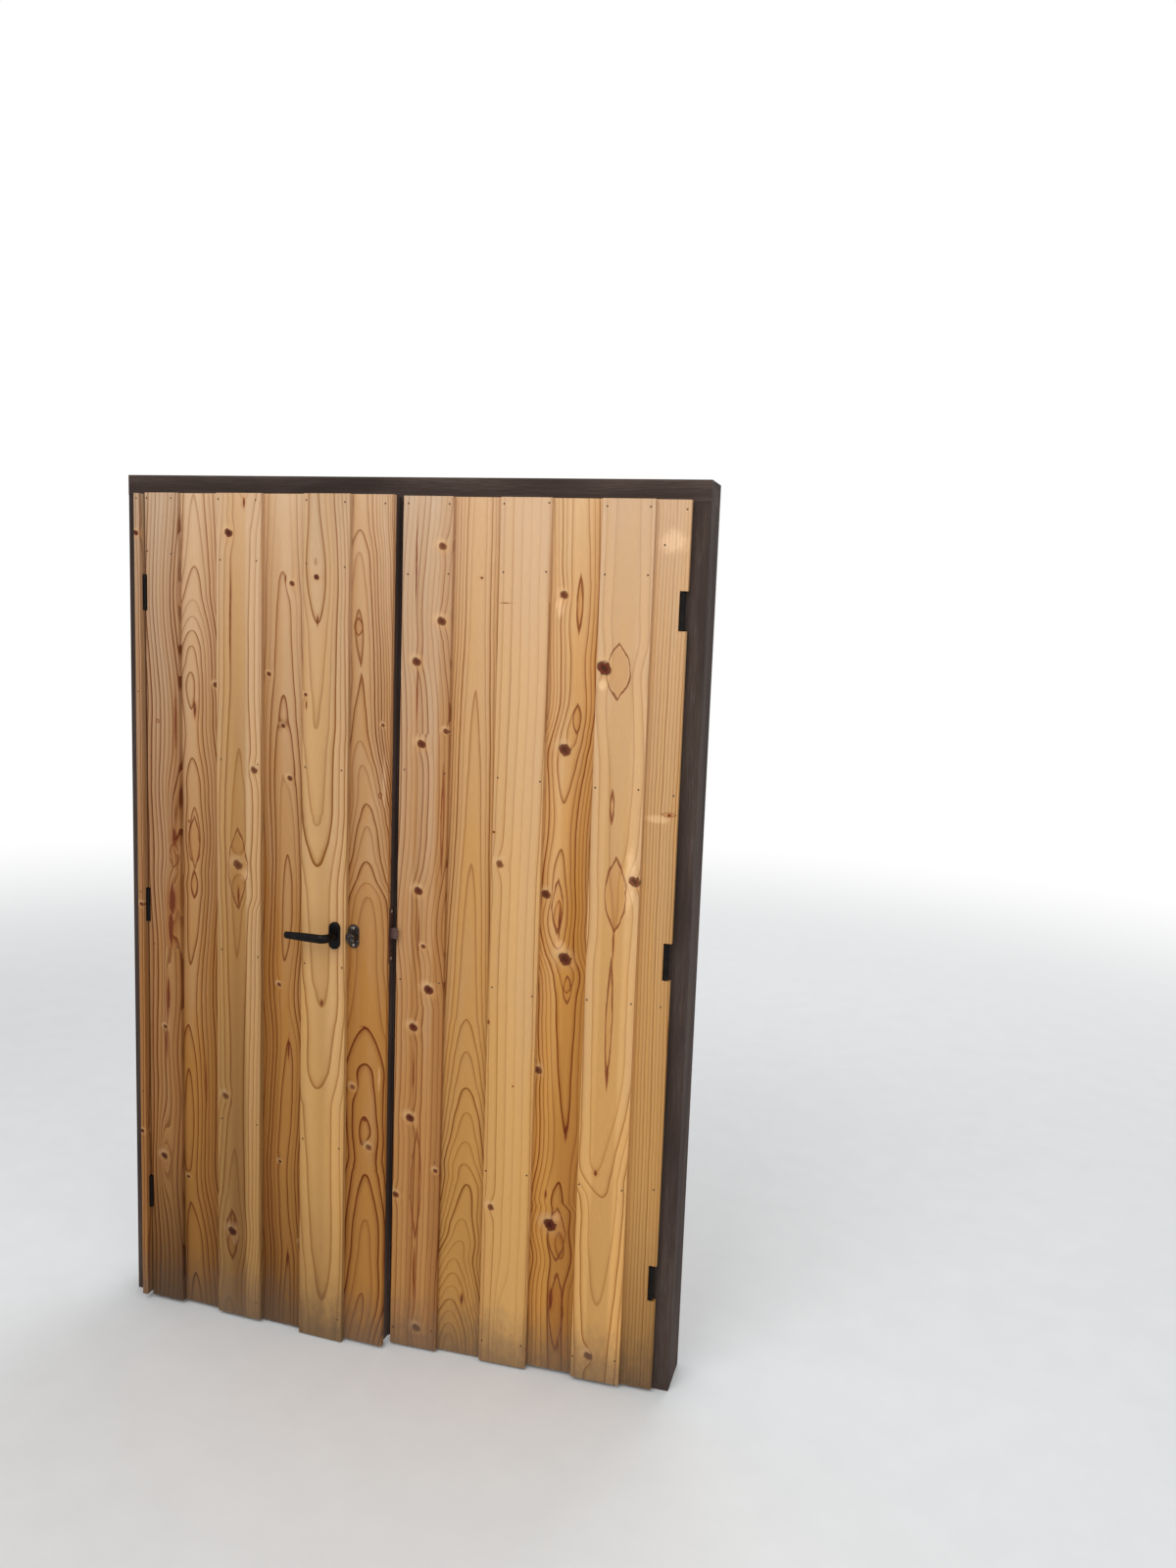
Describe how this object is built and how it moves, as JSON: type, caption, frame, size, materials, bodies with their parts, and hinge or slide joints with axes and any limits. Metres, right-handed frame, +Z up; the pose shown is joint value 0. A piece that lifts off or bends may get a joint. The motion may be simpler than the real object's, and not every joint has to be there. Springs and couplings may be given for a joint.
{
  "type": "barn door",
  "caption": "Board-on-board cedar plank door leaves hung on butt hinges in a timber frame, with a lever latch, key cylinder and barrel bolts.",
  "frame": {"origin": "on the floor, at the middle of the door's box: halfway between the jambs, at the front face of the frame", "axes": "+X to the right as seen from outside, +Y into the building, +Z up"},
  "size_m": [1.352, 0.221, 1.988],
  "materials": {
    "cedar": "bare planed new cedar, satin",
    "old_timber": "old dark stained timber, matt",
    "black_metal": "black, semi gloss",
    "dark_bronze": "dark bronze, worn",
    "lock_steel": "dulled steel",
    "bolt_steel": "dulled zinc"
  },
  "bodies": {
    "frame": {"left_jamb": "old_timber", "right_jamb": "old_timber", "head_jamb": "old_timber", "left_lining": "cedar", "side_stops": "old_timber", "head_stop": "old_timber", "bolt_keeper": "bolt_steel", "left_jamb_hinge_halves": "black_metal", "right_jamb_hinge_halves": "black_metal", "left_hinge_pins": "black_metal", "right_hinge_pins": "black_metal"},
    "left_leaf": {"left_hinge_stile": "old_timber", "left_lock_stile": "old_timber", "left_end_rails": "old_timber", "left_mid_rails": "old_timber", "left_edge_pack": "old_timber", "lock_block": "old_timber", "left_board_1": "cedar", "left_board_2": "cedar", "left_board_3": "cedar", "left_board_4": "cedar", "left_board_5": "cedar", "left_board_6": "cedar", "left_leaf_hinge_bottom": "black_metal", "left_leaf_hinge_middle": "black_metal", "left_leaf_hinge_top": "black_metal", "lock_case": "lock_steel", "face_plate": "lock_steel", "outside_rose": "black_metal", "inside_rose": "black_metal", "cylinder_escutcheon": "dark_bronze", "turn_plate": "dark_bronze", "lock_cylinder": "dark_bronze"},
    "lever": {"outside_lever": "black_metal", "inside_lever": "black_metal", "lever_spindle": "lock_steel"},
    "latch_bolt": {"latch_bolt": "lock_steel"},
    "key_plug": {"key_plug": "dark_bronze", "thumb_turn": "dark_bronze"},
    "dead_bolt": {"dead_bolt": "lock_steel"},
    "right_leaf": {"right_hinge_stile": "old_timber", "right_meeting_stile": "old_timber", "right_end_rails": "old_timber", "right_mid_rails": "old_timber", "right_edge_pack": "old_timber", "right_board_1": "cedar", "right_board_2": "cedar", "right_board_3": "cedar", "right_board_4": "cedar", "right_board_5": "cedar", "right_board_6": "cedar", "right_leaf_hinge_bottom": "black_metal", "right_leaf_hinge_middle": "black_metal", "right_leaf_hinge_top": "black_metal", "strike_plate": "lock_steel", "top_bolt_guide": "bolt_steel", "bottom_bolt_guide": "bolt_steel"},
    "top_bolt": {"top_bolt": "bolt_steel"},
    "bottom_bolt": {"bottom_bolt": "bolt_steel"}
  },
  "joints": [
    {"name": "left_leaf_swing", "type": "hinge", "parent": "frame", "child": "left_leaf", "pos_m": [-0.6155, -0.03, 0.99], "axis": [0, 0, -1], "range_deg": [-3.5, 86.5]},
    {"name": "right_leaf_swing", "type": "hinge", "parent": "frame", "child": "right_leaf", "pos_m": [0.6295, -0.015, 0.99], "axis": [0, 0, 1], "range_deg": [0, 95]},
    {"name": "lever_turn", "type": "hinge", "parent": "left_leaf", "child": "lever", "pos_m": [-0.11693, -0.06049, 0.977], "axis": [-0.061, -0.9981, 0], "range_deg": [0, 45], "stiffness_Nm_per_rad": 0.9, "springref_deg": -28.65},
    {"name": "latch_slide", "type": "slide", "parent": "left_leaf", "child": "latch_bolt", "axis": [-0.9981, 0.061, 0], "range_m": [0, 0.017]},
    {"name": "key_turn", "type": "hinge", "parent": "left_leaf", "child": "key_plug", "pos_m": [-0.07601, -0.063, 0.977], "axis": [-0.061, -0.9981, 0], "range_deg": [0, 90]},
    {"name": "dead_bolt_throw", "type": "slide", "parent": "left_leaf", "child": "dead_bolt", "axis": [0.9981, -0.061, 0], "range_m": [0, 0.018]},
    {"name": "top_bolt_slide", "type": "slide", "parent": "right_leaf", "child": "top_bolt", "axis": [0, 0, 1], "range_m": [0, 0.028]},
    {"name": "bottom_bolt_slide", "type": "slide", "parent": "right_leaf", "child": "bottom_bolt", "axis": [0, 0, -1], "range_m": [0, 0.028]}
  ],
  "couplings": [
    {"joint": "latch_slide", "follows": "lever_turn", "m_per_rad": 0.021645},
    {"joint": "key_turn", "follows": "dead_bolt_throw", "rad_per_m": 87.266}
  ]
}
